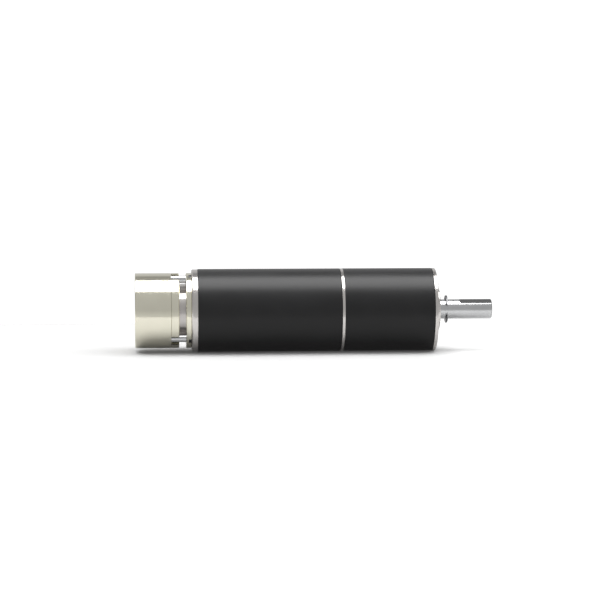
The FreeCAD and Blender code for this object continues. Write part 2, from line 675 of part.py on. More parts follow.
def motor_shaft():
    """Rotor shaft from the first sun gear to the brake hub."""
    turned("motor_shaft", [
        ("rotor_shaft_back_at", "0"),
        ("rotor_shaft_back_at", "rotor_shaft_od / 2"),
        ("cap_hub_at - bearing_recess", "rotor_shaft_od / 2"),
        ("cap_hub_at - bearing_recess", "rotor_collar_od / 2"),
        ("core_back_at", "rotor_collar_od / 2"),
        ("core_back_at", "rotor_shaft_od / 2"),
        ("core_front_at", "rotor_shaft_od / 2"),
        ("core_front_at", "rotor_collar_od / 2"),
        ("front_seat_at - small_width", "rotor_collar_od / 2"),
        ("front_seat_at - small_width", "rotor_shaft_od / 2"),
        ("rotor_step_at", "rotor_shaft_od / 2"),
        ("rotor_step_at", "sun_bore / 2"),
        ("rotor_shaft_front_at", "sun_bore / 2"),
        ("rotor_shaft_front_at", "0"),
    ])


def stator_core():
    """Lamination stack with slots that leave parallel teeth."""
    owner = turned("stator_core", tube_corners("stack_back_at", "stack_front_at", "stack_bore", "tube_bore"))
    corners = [
        ("stack_bore / 2 - overcut", "-slot_mouth / 2"),
        ("slot_inner - slot_taper", "-slot_mouth / 2"),
        ("slot_inner", "-slot_foot"),
        ("slot_outer", "-slot_head"),
        ("slot_outer", "slot_head"),
        ("slot_inner", "slot_foot"),
        ("slot_inner - slot_taper", "slot_mouth / 2"),
        ("stack_bore / 2 - overcut", "slot_mouth / 2"),
    ]
    slot = cut_rearward(owner, "slot", lambda target: polygon(target, corners), "stack_front_at + overcut",
                        "stack_front_at - stack_back_at + 2 * overcut")
    repeat(owner, [slot], "tooth_count")


def stator_coils():
    """One coil round each tooth, with rounded end turns."""
    owner = body("stator_coils")
    outer_back = "stack_back_at - coil_overhang"
    outer_front = "stack_front_at + coil_overhang"
    outer = polygon(sketch(owner, "coil_outline", "XY_Plane", z="coil_inner"), [
        (outer_back, "-coil_width / 2"), (outer_front, "-coil_width / 2"),
        (outer_front, "coil_width / 2"), (outer_back, "coil_width / 2"),
    ])
    block = owner.newObject("PartDesign::Pad", "coil_block")
    block.Profile = outer
    bind(block, Length="coil_height")
    doc.recompute()
    corners = [f"Edge{number}" for number, edge in enumerate(block.Shape.Edges, 1)
               if abs(edge.tangentAt(edge.FirstParameter).z) > 0.99]
    rounded = owner.newObject("PartDesign::Fillet", "coil_rounding")
    rounded.Base = (block, corners)
    bind(rounded, Radius="coil_corner")
    doc.recompute()
    inner = polygon(sketch(owner, "coil_hole_outline", "XY_Plane", z="coil_inner + coil_height + overcut"), [
        ("stack_back_at - coil_gap", "-coil_hole / 2"), ("stack_front_at + coil_gap", "-coil_hole / 2"),
        ("stack_front_at + coil_gap", "coil_hole / 2"), ("stack_back_at - coil_gap", "coil_hole / 2"),
    ])
    hole = owner.newObject("PartDesign::Pocket", "coil_hole_cut")
    hole.Profile = inner
    bind(hole, Length="coil_height + 2 * overcut")
    doc.recompute()
    pattern = repeat(owner, [], "tooth_count")
    pattern.TransformMode = "Whole shape"
    turn_about_x(owner, "180 / tooth_count - 90")


def stator_insulators():
    """Plastic rings at the ends of the stack; the rear one reaches back to carry the sensor board."""
    owner = body("stator_insulators")
    revolve(owner, "insulator_front", tube_corners("stack_front_at", "stack_front_at + insulator_front",
                                                   "insulator_bore", "insulator_od"))
    revolve(owner, "insulator_rear", tube_corners("board_front_at", "stack_back_at",
                                                  "insulator_bore", "insulator_od"))


def rotor_core():
    """Iron core on the motor shaft."""
    turned("rotor_core", tube_corners("core_back_at", "core_front_at", "rotor_shaft_od", "core_od"))


def rotor_magnets():
    """Arc magnets bonded round the core, longer than it at the sensor end."""
    owner = turned("rotor_magnets", tube_corners("magnet_back_at", "core_front_at", "core_od", "magnet_od"),
                   "0", "magnet_arc")
    repeat(owner, [owner.Tip], "magnet_count")


def hall_board():
    """Ring-shaped circuit board behind the windings."""
    turned("hall_board", tube_corners("board_front_at - board_thick", "board_front_at", "board_bore", "board_od"))


def hall_sensors():
    """Three sensors that stand on the board and reach to the magnet ends."""
    owner = body("hall_sensors")
    low = "sensor_circle / 2 - sensor_thick / 2"
    high = "sensor_circle / 2 + sensor_thick / 2"
    foot = polygon(sketch(owner, "sensor_outline", "YZ_Plane", z="board_front_at"), [
        (low, "-sensor_width / 2"),
        (high, "-sensor_width / 2"),
        (high, "sensor_width / 2"),
        (low, "sensor_width / 2"),
    ])
    sensor = owner.newObject("PartDesign::Pad", "sensor")
    sensor.Profile = foot
    bind(sensor, Length="sensor_reach")
    repeat(owner, [sensor], "sensor_count")


# ---------------------------------------------------------------- brake

def brake_flange():
    """Brake mounting plate; the seats of the guide screws break through its rim on the motor side."""
    owner = turned("brake_flange", [
        ("cap_back_at", "plate_bore / 2"),
        ("cap_back_at", "brake_od / 2 - brake_bevel"),
        ("cap_back_at - brake_bevel", "brake_od / 2"),
        ("plate_back_at + brake_bevel", "brake_od / 2"),
        ("plate_back_at", "brake_od / 2 - brake_bevel"),
        ("plate_back_at", "plate_bore / 2"),
    ])
    guides = cut_rearward(owner, "plate_guide_hole",
                          lambda target: circles(target, [("guide_circle / 2", "0")], "screw_hole / 2"),
                          "cap_back_at + overcut", "cap_back_at - plate_back_at + 2 * overcut")
    seats = cut_rearward(owner, "plate_screw_seat",
                         lambda target: circles(target, [("guide_circle / 2", "0")], "counterbore / 2"),
                         "cap_back_at + overcut", "counterbore_depth + overcut")
    between = [("flange_screw_circle / 4", "flange_screw_circle / 2 * sin(60)")]
    shanks = cut_rearward(owner, "plate_shank_hole", lambda target: circles(target, between, "screw_od / 2"),
                          "cap_back_at + overcut", "cap_back_at - plate_back_at + 2 * overcut")
    heads = cut_rearward(owner, "plate_head_seat",
                         lambda target: circles(target, between, "flange_screw_head / 2"),
                         "plate_back_at + flange_screw_seat", "flange_screw_seat + overcut")
    repeat(owner, [guides, seats, shanks, heads], "guide_count")
    turn_about_x(owner, "guide_turn")


def flange_screws():
    """Low-head screws that hold the brake plate to the motor's rear cover."""
    owner = turned("flange_screws", [
        ("plate_back_at + flange_screw_sunk", "0"),
        ("plate_back_at + flange_screw_sunk", "flange_screw_head / 2 - flange_screw_sunk"),
        ("plate_back_at + 2 * flange_screw_sunk", "flange_screw_head / 2"),
        ("plate_back_at + flange_screw_seat", "flange_screw_head / 2"),
        ("plate_back_at + flange_screw_seat", "screw_od / 2"),
        ("flange_screw_tip_at", "screw_od / 2"),
        ("flange_screw_tip_at", "0"),
    ], "flange_screw_circle / 2")
    shank = owner.Tip
    corners = [(f"flange_screw_circle / 2 + {across}", up) for across, up in hexagon("key_across * 2 / sqrt(3)")]
    socket = cut_rearward(owner, "flange_socket", lambda target: polygon(target, corners),
                          "plate_back_at + flange_screw_sunk + key_depth", "key_depth + overcut")
    repeat(owner, [shank, socket], "guide_count")
    turn_about_x(owner, "guide_turn + 180 / guide_count")


def hexagonal_pad(owner, name, across, back, front):
    """A hexagonal prism along X."""
    profile = polygon(sketch(owner, f"{name}_outline", "YZ_Plane", z=back), hexagon(across))
    new = owner.newObject("PartDesign::Pad", name)
    new.Profile = profile
    bind(new, Length=f"{front} - {back}")
    doc.recompute()
    return new


def brake_hub():
    """Hexagonal hub pressed on the shaft end, which drives the friction disc."""
    owner = body("brake_hub")
    hexagonal_pad(owner, "hub_block", "hub_across", "rotor_shaft_back_at", "hub_front_at")
    cut_rearward(owner, "hub_bore", lambda target: circles(target, [("0", "0")], "rotor_shaft_od / 2"),
                 "hub_front_at + overcut", "hub_front_at - rotor_shaft_back_at + 2 * overcut")
    turn_about_x(owner, "disc_turn")


def friction_disc():
    """Metal disc of the brake rotor: recessed for its linings, bored to slide on the hub, slotted at the rim."""
    front = "lining_front_at - lining_proud"
    back = "lining_back_at + lining_proud"
    front_floor = "lining_front_at - lining_thick"
    back_floor = "lining_back_at + lining_thick"
    depth = f"{front} - ({back}) + 2 * overcut"
    owner = turned("friction_disc", [
        (back, "0"),
        (back, "lining_bore / 2"),
        (back_floor, "lining_bore / 2"),
        (back_floor, "lining_od / 2"),
        (back, "lining_od / 2"),
        (back, "disc_od / 2"),
        (front, "disc_od / 2"),
        (front, "lining_od / 2"),
        (front_floor, "lining_od / 2"),
        (front_floor, "lining_bore / 2"),
        (front, "lining_bore / 2"),
        (front, "0"),
    ])
    cut_rearward(owner, "disc_hex", lambda target: polygon(target, hexagon("(hub_across + 2 * hex_play)")),
                 f"{front} + overcut", depth)
    slot = cut_rearward(owner, "disc_slot", rim_slot, f"{front} + overcut", depth)
    repeat(owner, [slot], "disc_slot_count")
    turn_about_x(owner, "disc_turn")


def rim_slot(target):
    """Outline of a slot in the rim of the friction disc."""
    return polygon(target, [
        ("disc_od / 2 - disc_slot_depth", "-disc_slot_width / 2"),
        ("disc_od / 2 + overcut", "-disc_slot_width / 2"),
        ("disc_od / 2 + overcut", "disc_slot_width / 2"),
        ("disc_od / 2 - disc_slot_depth", "disc_slot_width / 2"),
    ])


def friction_linings():
    """Friction rings bonded into the recesses of the disc, a little proud of its faces."""
    owner = body("friction_linings")
    revolve(owner, "lining_front", tube_corners("lining_front_at - lining_thick", "lining_front_at",
                                                "lining_bore", "lining_od"))
    revolve(owner, "lining_rear", tube_corners("lining_back_at", "lining_back_at + lining_thick",
                                               "lining_bore", "lining_od"))


def armature_plate():
    """Plate that the springs press on the friction disc, notched round the guide sleeves."""
    owner = turned("armature_plate", [
        ("armature_front_at", "armature_bore / 2"),
        ("armature_front_at", "brake_od / 2 - brake_bevel"),
        ("armature_front_at - brake_bevel", "brake_od / 2"),
        ("armature_back_at + fine_bevel", "brake_od / 2"),
        ("armature_back_at", "brake_od / 2 - fine_bevel"),
        ("armature_back_at", "armature_bore / 2"),
    ])
    notch = cut_rearward(owner, "guide_notch", lambda target: polygon(target, [
        ("notch_floor", "-notch_width / 2"), ("brake_od / 2 + overcut", "-notch_width / 2"),
        ("brake_od / 2 + overcut", "notch_width / 2"), ("notch_floor", "notch_width / 2"),
    ]), "armature_front_at + overcut", "armature_front_at - armature_back_at + 2 * overcut")
    repeat(owner, [notch], "guide_count")
    turn_about_x(owner, "guide_turn")


def magnet_body():
    """Electromagnet casing: coil pocket, spring holes, threads for the guide screws, and a lead outlet."""
    owner = turned("magnet_body", [
        ("magnet_front_at - centre_depth", "0"),
        ("magnet_front_at - centre_depth", "centre_bore / 2"),
        ("magnet_front_at", "centre_bore / 2"),
        ("magnet_front_at", "coil_pocket_bore / 2"),
        ("magnet_front_at - coil_pocket_depth", "coil_pocket_bore / 2"),
        ("magnet_front_at - coil_pocket_depth", "coil_pocket_od / 2"),
        ("magnet_front_at", "coil_pocket_od / 2"),
        ("magnet_front_at", "brake_od / 2 - fine_bevel"),
        ("magnet_front_at - fine_bevel", "brake_od / 2"),
        ("magnet_end_at + brake_bevel", "brake_od / 2"),
        ("magnet_end_at", "brake_od / 2 - brake_bevel"),
        ("magnet_end_at", "end_dish_od / 2"),
        ("magnet_end_at + end_dish_depth", "end_dish_od / 2"),
        ("magnet_end_at + end_dish_depth", "0"),
    ])
    threads = cut_rearward(owner, "guide_thread",
                           lambda target: circles(target, [("guide_circle / 2", "0")], "screw_od / 2"),
                           "magnet_front_at + overcut", "magnet_front_at - screw_tip_at + overcut + thread_spare")
    springs = cut_rearward(owner, "spring_hole_cut",
                           lambda target: circles(target, [("spring_circle / 2", "0"),
                                                           ("spring_circle / 4", "spring_circle / 2 * sin(60)")],
                                                  "spring_hole / 2"),
                           "magnet_front_at + overcut", "spring_depth + overcut")
    repeat(owner, [threads, springs], "guide_count")
    doc.recompute()
    cut_rearward(owner, "brake_lead_hole",
                 lambda target: circles(target, [("lead_brake_circle / 2 * cos(60)",
                                                  "lead_brake_circle / 2 * sin(60)")], "lead_hole / 2"),
                 "magnet_front_at - coil_pocket_depth + overcut", "magnet_front_at - magnet_end_at + 2 * overcut")
    turn_about_x(owner, "guide_turn")


def brake_coil():
    """Ring coil in the electromagnet's pocket."""
    turned("brake_coil", tube_corners("magnet_front_at - coil_pocket_depth + brake_coil_play",
                                      "magnet_front_at - brake_coil_inset",
                                      "(coil_pocket_bore + brake_coil_play)", "(coil_pocket_od - brake_coil_play)"))


def brake_springs():
    """Compression springs, drawn as long as they are when the brake is released."""
    length = value("spring_depth") - 2 * value("spring_inset") - value("spring_wire")
    pitch = length / value("spring_turns")
    radius = value("spring_coil") / 2
    path = Part.makeHelix(pitch, length, radius)
    section = Part.Wire(Part.makeCircle(value("spring_wire") / 2, FreeCAD.Vector(radius, 0, 0),
                                        FreeCAD.Vector(0, 1, 0)))
    spring = Part.Wire(path.Edges).makePipeShell([section], True, True)
    spring.rotate(FreeCAD.Vector(), FreeCAD.Vector(0, 1, 0), -90)
    inset = value("spring_inset") + value("spring_wire") / 2
    spring.translate(FreeCAD.Vector(value("magnet_front_at") - inset, 0, 0))
    springs = []
    for index in range(int(value("spring_count"))):
        angle = math.radians(value("guide_turn")) + 2 * math.pi * index / value("spring_count")
        copy = spring.copy()
        copy.translate(spot(value("spring_circle") / 2, angle))
        springs.append(copy)
    group = doc.addObject("Part::Feature", "brake_springs")
    group.Shape = Part.makeCompound(springs)
    piece(group, "brake_springs")


def spacer_sleeves():
    """Sleeves that guide the armature plate and set the brake's gap."""
    owner = turned("spacer_sleeves", tube_corners("magnet_front_at", "plate_back_at",
                                                  "sleeve_bore", "sleeve_od"), "guide_circle / 2")
    repeat(owner, [owner.Tip], "guide_count")
    turn_about_x(owner, "guide_turn")


def brake_screws():
    """Socket-head screws from the brake plate through the sleeves into the magnet body."""
    head_back = "cap_back_at - counterbore_depth"
    head_front = f"{head_back} + screw_head_length"
    owner = turned("brake_screws", [
        (head_front, "0"),
        (head_front, "screw_head / 2"),
        (head_back, "screw_head / 2"),
        (head_back, "screw_od / 2"),
        ("screw_tip_at", "screw_od / 2"),
        ("screw_tip_at", "0"),
    ], "guide_circle / 2")
    shank = owner.Tip
    corners = [(f"guide_circle / 2 + {across}", up) for across, up in hexagon("key_across * 2 / sqrt(3)")]
    socket = cut_rearward(owner, "socket", lambda target: polygon(target, corners),
                          f"{head_front} + overcut", "key_depth + overcut")
    repeat(owner, [shank, socket], "guide_count")
    turn_about_x(owner, "guide_turn")


# ---------------------------------------------------------------- lead outlets

def lead_grommets():
    """Bushes for the leads: one in the motor casing's far wall, one in the brake's end."""
    owner = body("lead_grommets")
    sunk_end = "casing_od / 2 - lead_bush_sunk"
    lip_end = "tube_bore / 2 - lead_lip_inset"
    motor = polygon(sketch(owner, "motor_bush_outline", "XY_Plane", x="lead_motor_at"), [
        ("lead_bore / 2", f"{lip_end} - lead_lip_inset"),
        ("lead_lip / 2", f"{lip_end} - lead_lip_inset"),
        ("lead_lip / 2", lip_end),
        ("lead_hole / 2", lip_end),
        ("lead_hole / 2", sunk_end),
        ("lead_bore / 2", sunk_end),
    ])
    bush = owner.newObject("PartDesign::Revolution", "motor_bush")
    bush.Profile = motor
    bush.ReferenceAxis = (motor, ["V_Axis"])
    bush.Angle = 360
    angle = "(guide_turn + 180 / guide_count)"
    brake = sketch(owner, "brake_bush_outline", "YZ_Plane", z="magnet_end_at")
    centre = [(f"lead_brake_circle / 2 * cos{angle}", f"lead_brake_circle / 2 * sin{angle}")]
    circles(brake, centre, "lead_hole / 2")
    second = owner.newObject("PartDesign::Pad", "brake_bush")
    second.Profile = brake
    bind(second, Length="magnet_front_at - coil_pocket_depth - magnet_end_at")
    doc.recompute()
    cut_rearward(owner, "brake_bush_bore", lambda target: circles(target, centre, "lead_bore / 2"),
                 "magnet_front_at - coil_pocket_depth + overcut", "magnet_front_at - magnet_end_at + 2 * overcut")


# ---------------------------------------------------------------- the assembly

def build():
    """Make every sub-part from front to rear."""
    gearbox_housing()
    front_flange()
    output_shaft()
    retaining_clip()
    bearing("front_bearing", "large", "front_bearing_at", True)
    bearing("rear_bearing", "large", "rear_bearing_at", False)
    bearing_spacer()
    gear_train()
    motor_front_shield()
    motor_tube()
    rear_end_cap()
    bearing("motor_front_bearing", "small", "(front_seat_at - small_width)", False)
    bearing("motor_rear_bearing", "small", "(cap_hub_at - bearing_recess - small_width)", False)
    wave_washer()
    motor_shaft()
    stator_core()
    stator_coils()
    stator_insulators()
    rotor_core()
    rotor_magnets()
    hall_board()
    hall_sensors()
    brake_flange()
    flange_screws()
    brake_hub()
    friction_disc()
    friction_linings()
    armature_plate()
    magnet_body()
    brake_coil()
    brake_springs()
    spacer_sleeves()
    brake_screws()
    lead_grommets()


def write():
    """Check every object, then write each sub-part to its file."""
    doc.recompute()
    for item in doc.Objects:
        if "Invalid" in item.State or "Error" in item.State:
            raise RuntimeError(f"{item.Label} did not build: {item.State}")
    for item in pieces:
        if item.Shape.isNull() or not item.Shape.isValid():
            raise RuntimeError(f"{item.Label} has no valid shape")
        item.Shape.exportStep(f"parts/{item.Label}.step")


build()
write()
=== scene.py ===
"""Looks of the geared brake motor: materials, floor, softbox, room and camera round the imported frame."""
import json
import math
import bpy
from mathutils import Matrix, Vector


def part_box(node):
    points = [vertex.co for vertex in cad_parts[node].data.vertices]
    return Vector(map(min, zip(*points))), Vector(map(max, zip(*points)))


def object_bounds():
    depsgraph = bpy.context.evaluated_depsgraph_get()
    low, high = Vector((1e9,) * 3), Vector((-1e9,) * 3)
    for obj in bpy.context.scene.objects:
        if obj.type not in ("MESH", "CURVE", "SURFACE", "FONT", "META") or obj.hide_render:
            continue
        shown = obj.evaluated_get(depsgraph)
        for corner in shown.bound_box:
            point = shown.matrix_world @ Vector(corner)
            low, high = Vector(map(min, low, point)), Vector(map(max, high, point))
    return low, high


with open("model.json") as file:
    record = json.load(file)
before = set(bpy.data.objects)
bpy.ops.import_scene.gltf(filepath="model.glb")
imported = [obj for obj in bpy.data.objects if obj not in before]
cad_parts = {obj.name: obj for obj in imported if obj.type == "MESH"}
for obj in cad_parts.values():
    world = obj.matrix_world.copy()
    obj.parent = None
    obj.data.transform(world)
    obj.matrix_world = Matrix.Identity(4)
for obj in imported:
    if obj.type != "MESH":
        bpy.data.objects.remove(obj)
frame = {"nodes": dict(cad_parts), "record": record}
cad_low, cad_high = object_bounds()
nodes = frame["nodes"]


# ---------------------------------------------------------------- node helpers

def new_material(name):
    """An empty material with its Principled shader and output."""
    material = bpy.data.materials.new(name)
    material.use_nodes = True
    tree = material.node_tree
    tree.nodes.clear()
    shader = tree.nodes.new("ShaderNodeBsdfPrincipled")
    output = tree.nodes.new("ShaderNodeOutputMaterial")
    tree.links.new(shader.outputs["BSDF"], output.inputs["Surface"])
    return material, tree, shader


def add(tree, kind, **values):
    """A node whose attributes and input sockets are set by name."""
    node = tree.nodes.new(kind)
    for key, value in values.items():
        if hasattr(node, key):
            setattr(node, key, value)
        else:
            node.inputs[key.replace("_", " ")].default_value = value
    return node


def place(tree, scale=(1.0, 1.0, 1.0)):
    """Object coordinates in metres, stretched by a scale on each axis."""
    coordinates = add(tree, "ShaderNodeTexCoord")
    mapping = add(tree, "ShaderNodeMapping")
    mapping.inputs["Scale"].default_value = scale
    tree.links.new(coordinates.outputs["Object"], mapping.inputs["Vector"])
    return mapping.outputs["Vector"]


def noise(tree, vector, scale, detail=3.0):
    """A noise texture over a coordinate."""
    node = add(tree, "ShaderNodeTexNoise", Scale=scale, Detail=detail)
    tree.links.new(vector, node.inputs["Vector"])
    return node.outputs["Fac"]


def spread(tree, factor, low, high):
    """A value between two limits from a factor round one half."""
    node = add(tree, "ShaderNodeMapRange", From_Min=0.25, From_Max=0.75, To_Min=low, To_Max=high)
    tree.links.new(factor, node.inputs["Value"])
    return node.outputs["Result"]


def tint(tree, factor, dark, light):
    """A colour between two colours from a factor."""
    node = add(tree, "ShaderNodeValToRGB")
    node.color_ramp.elements[0].position = 0.3
    node.color_ramp.elements[0].color = (*dark, 1.0)
    node.color_ramp.elements[1].position = 0.7
    node.color_ramp.elements[1].color = (*light, 1.0)
    tree.links.new(factor, node.inputs["Fac"])
    return node.outputs["Color"]


def bump(tree, shader, height, distance):
    """Relief on the shader from a height."""
    node = add(tree, "ShaderNodeBump", Distance=distance, Strength=1.0)
    tree.links.new(height, node.inputs["Height"])
    tree.links.new(node.outputs["Normal"], shader.inputs["Normal"])


def from_axis(tree):
    """The place along the X axis and the distance from it, in metres."""
    coordinates = add(tree, "ShaderNodeTexCoord")
    split = add(tree, "ShaderNodeSeparateXYZ")
    tree.links.new(coordinates.outputs["Object"], split.inputs["Vector"])
    across = add(tree, "ShaderNodeCombineXYZ")
    tree.links.new(split.outputs["Y"], across.inputs["Y"])
    tree.links.new(split.outputs["Z"], across.inputs["Z"])
    radius = add(tree, "ShaderNodeVectorMath", operation="LENGTH")
    tree.links.new(across.outputs["Vector"], radius.inputs[0])
    return split.outputs["X"], radius.outputs["Value"]


def turned_marks(tree, along, radius, pitch):
    """Rings left by a lathe, which run round the turned outsides and the faced ends alike."""
    vector = add(tree, "ShaderNodeCombineXYZ")
    tree.links.new(along, vector.inputs["X"])
    tree.links.new(radius, vector.inputs["Y"])
    return noise(tree, vector.outputs["Vector"], 1.0 / pitch, 2.0)


def flat_painted_shade(tree, colour, along, radius, surface, start, flat_shade_colour):
    """A darker colour, painted shade, beyond a place along the axis, where a flat lies inside the ground
    surface.
    """
    ground = add(tree, "ShaderNodeMapRange", From_Min=surface - MILLED_DEPTH, From_Max=surface - GROUND_DEPTH)
    tree.links.new(radius, ground.inputs["Value"])
    before = add(tree, "ShaderNodeMath", operation="LESS_THAN")
    tree.links.new(along, before.inputs[0])
    before.inputs[1].default_value = start
    plain = add(tree, "ShaderNodeMath", operation="MAXIMUM")
    tree.links.new(ground.outputs["Result"], plain.inputs[0])
    tree.links.new(before.outputs["Value"], plain.inputs[1])
    # Painted shade: the flat takes the darker colour.
    mix = add(tree, "ShaderNodeMixRGB", Color1=(*flat_shade_colour, 1.0))
    tree.links.new(plain.outputs["Value"], mix.inputs["Fac"])
    tree.links.new(colour, mix.inputs["Color2"])
    return mix.outputs["Color"]


# ---------------------------------------------------------------- materials

# Output shaft, in metres: its ground radius, where its flat starts, and the depths below the ground surface
# between which the painted shade on the flat gives way to the ground tone.
SHAFT_RADIUS = 0.005
FLAT_START = 0.0115
MILLED_DEPTH = 0.0001
GROUND_DEPTH = 0.00002


def turned_metal(name, dark, light, roughness, pitch=0.0004, relief=0.0000012, flat=None):
    """Machined metal with lathe rings, slight staining, uneven polish and perhaps a milled flat darkened by
    painted shade.
    """
    material, tree, shader = new_material(name)
    shader.inputs["Metallic"].default_value = 1.0
    along, radius = from_axis(tree)
    rings = turned_marks(tree, along, radius, pitch)
    colour = tint(tree, noise(tree, place(tree), 90.0), dark, light)
    if flat:
        colour = flat_painted_shade(tree, colour, along, radius, *flat)
    tree.links.new(colour, shader.inputs["Base Color"])
    tree.links.new(spread(tree, rings, roughness[0], roughness[1]), shader.inputs["Roughness"])
    bump(tree, shader, rings, relief)
    return material


def coated(name, dark, light, roughness, grain, relief, gloss=0.5):
    """Paint, anodising or plastic: a fine grain in colour, gloss and relief."""
    material, tree, shader = new_material(name)
    shader.inputs["Specular IOR Level"].default_value = gloss
    vector = place(tree)
    fine = noise(tree, vector, 1.0 / grain, 4.0)
    broad = noise(tree, vector, 60.0, 2.0)
    tree.links.new(tint(tree, broad, dark, light), shader.inputs["Base Color"])
    tree.links.new(spread(tree, broad, roughness[0], roughness[1]), shader.inputs["Roughness"])
    bump(tree, shader, fine, relief)
    return material


def laminated_steel(name):
    """Stack of electrical sheets: thin dark lines along X."""
    material, tree, shader = new_material(name)
    shader.inputs["Metallic"].default_value = 0.9
    vector = place(tree, (1.0, 0.0, 0.0))
    sheets = add(tree, "ShaderNodeTexWave", wave_type="BANDS", bands_direction="X", Scale=640.0)
    tree.links.new(vector, sheets.inputs["Vector"])
    tree.links.new(tint(tree, sheets.outputs["Fac"], (0.10, 0.11, 0.12), (0.33, 0.34, 0.36)),
                   shader.inputs["Base Color"])
    tree.links.new(spread(tree, sheets.outputs["Fac"], 0.45, 0.3), shader.inputs["Roughness"])
    bump(tree, shader, sheets.outputs["Fac"], 0.00003)
    return material


def winding(name, dark, light):
    """Enamelled wire wound side by side: fine ridges along the turns, with painted shade between the wires.
    """
    material, tree, shader = new_material(name)
    shader.inputs["Metallic"].default_value = 0.6
    shader.inputs["Coat Weight"].default_value = 0.5
    shader.inputs["Coat Roughness"].default_value = 0.15
    vector = place(tree, (0.15, 1.0, 1.0))
    wires = add(tree, "ShaderNodeTexVoronoi", Scale=1900.0)
    tree.links.new(vector, wires.inputs["Vector"])
    # Painted shade: darker towards the edges of each turn, lighter in its middle.
    tree.links.new(tint(tree, wires.outputs["Distance"], light, dark), shader.inputs["Base Color"])
    tree.links.new(spread(tree, wires.outputs["Distance"], 0.25, 0.4), shader.inputs["Roughness"])
    bump(tree, shader, wires.outputs["Distance"], -0.00012)
    return material


def make_materials():
    """One material for each slot of the record."""
    return {
        "black_anodised": coated("black_coating", (0.0035, 0.0035, 0.0037), (0.0045, 0.0045, 0.0048),
                                 (0.33, 0.38), 0.00035, 0.000004, 0.285),
        "bright_aluminium": turned_metal("bright_aluminium", (0.59, 0.566, 0.548), (0.65, 0.624, 0.605),
                                         (0.13, 0.2)),
        "nickel_plated_steel": turned_metal("champagne_nickel", (0.765, 0.74, 0.62), (0.80, 0.775, 0.65),
                                            (0.12, 0.17), 0.0007, 0.0000006),
        # The ground shaft's flat gets a darker colour as painted shade.
        "ground_steel": turned_metal("ground_steel", (0.54, 0.545, 0.55), (0.58, 0.585, 0.59), (0.14, 0.2),
                                     flat=(SHAFT_RADIUS, FLAT_START, (0.29, 0.292, 0.293))),
        "hardened_steel": turned_metal("hardened_steel", (0.32, 0.33, 0.35), (0.42, 0.43, 0.45), (0.28, 0.4)),
        "spring_steel": turned_metal("spring_steel", (0.09, 0.09, 0.095), (0.14, 0.14, 0.145), (0.3, 0.42)),
        "bearing_steel": turned_metal("bearing_steel", (0.66, 0.67, 0.69), (0.72, 0.73, 0.75), (0.1, 0.16)),
        "black_oxide_steel": turned_metal("black_oxide_steel", (0.03, 0.03, 0.033), (0.05, 0.05, 0.055),
                                          (0.3, 0.4)),
        "bronze_washer": turned_metal("bronze", (0.45, 0.27, 0.09), (0.55, 0.34, 0.13), (0.25, 0.35)),
        "electrical_steel": laminated_steel("electrical_steel"),
        "copper_winding": winding("copper_winding", (0.30, 0.09, 0.025), (0.72, 0.28, 0.09)),
        "magnet_alloy": turned_metal("magnet_alloy", (0.38, 0.39, 0.40), (0.46, 0.47, 0.48), (0.22, 0.32)),
        "insulator_plastic": coated("insulator_plastic", (0.66, 0.62, 0.51), (0.72, 0.68, 0.57),
                                    (0.45, 0.55), 0.0006, 0.00001),
        "board_laminate": coated("board_laminate", (0.012, 0.085, 0.03), (0.02, 0.12, 0.045),
                                 (0.3, 0.4), 0.0008, 0.00001),
        "sensor_plastic": coated("sensor_plastic", (0.012, 0.012, 0.013), (0.02, 0.02, 0.022),
                                 (0.5, 0.6), 0.0004, 0.00001),
        "friction_material": coated("friction_material", (0.10, 0.095, 0.09), (0.17, 0.16, 0.15),
                                    (0.7, 0.85), 0.0003, 0.00003),
        "disc_alloy": turned_metal("disc_alloy", (0.57, 0.546, 0.533), (0.63, 0.603, 0.589), (0.28, 0.34)),
        "coil_resin": coated("coil_resin", (0.11, 0.022, 0.012), (0.17, 0.035, 0.02),
                             (0.3, 0.4), 0.0008, 0.00002),
        "black_rubber": coated("black_rubber", (0.014, 0.014, 0.014), (0.024, 0.024, 0.024),
                               (0.6, 0.75), 0.0005, 0.00002),
    }


def dress(materials):
    """Give every node of the frame the material of its slot."""
    for entry in frame["record"]["subparts"]:
        mesh = nodes[entry["node"]].data
        mesh.materials.clear()
        mesh.materials.append(materials[entry["material_slot"]])


# ---------------------------------------------------------------- studio

# Brightness of the room by height angle, in degrees from the front horizon over the zenith to the back one.
WALLS = ((-180, 0.72), (-90, 0.6), (-15, 0.7), (5, 0.52), (50, 0.55), (110, 0.45), (118, 0.33), (131, 0.33),
         (143, 0.62), (180, 0.66))
BACKDROP = 1.1

# Floor sheet, in metres: how far it reaches along the object and across it.
FLOOR_X = (-0.35, 0.2)
FLOOR_Y = (-0.09, 0.16)
# Faint even glow of the sheet itself, and painted light on top of it that only the camera sees under the
# shaft, which lightens the shaft's shadow: this fades in from a little behind the front flange's face to some
# way in front of it, in metres.
FLOOR_LIGHT = 0.05
SHAFT_PAINTED_GLOW = 0.26
GLOW_FROM = -0.01
GLOW_TO = 0.016

# Softbox: height over the axis and length in metres, height angles of its front and back edges in degrees.
SOFTBOX_HEIGHT = 0.6
SOFTBOX_LENGTH = 2.4
SOFTBOX_FRONT_ANGLE = 66.5
SOFTBOX_BACK_ANGLE = 73

# Camera, in metres and degrees: distance, height angle over the axis, turn, look-down angle, and how far it
# stands behind the brake's front edge.
CAMERA_DISTANCE = 1.258
CAMERA_ELEVATION = 5
CAMERA_TURN = 3.72
CAMERA_DROP = 4.763
CAMERA_FOOT = 0.0163


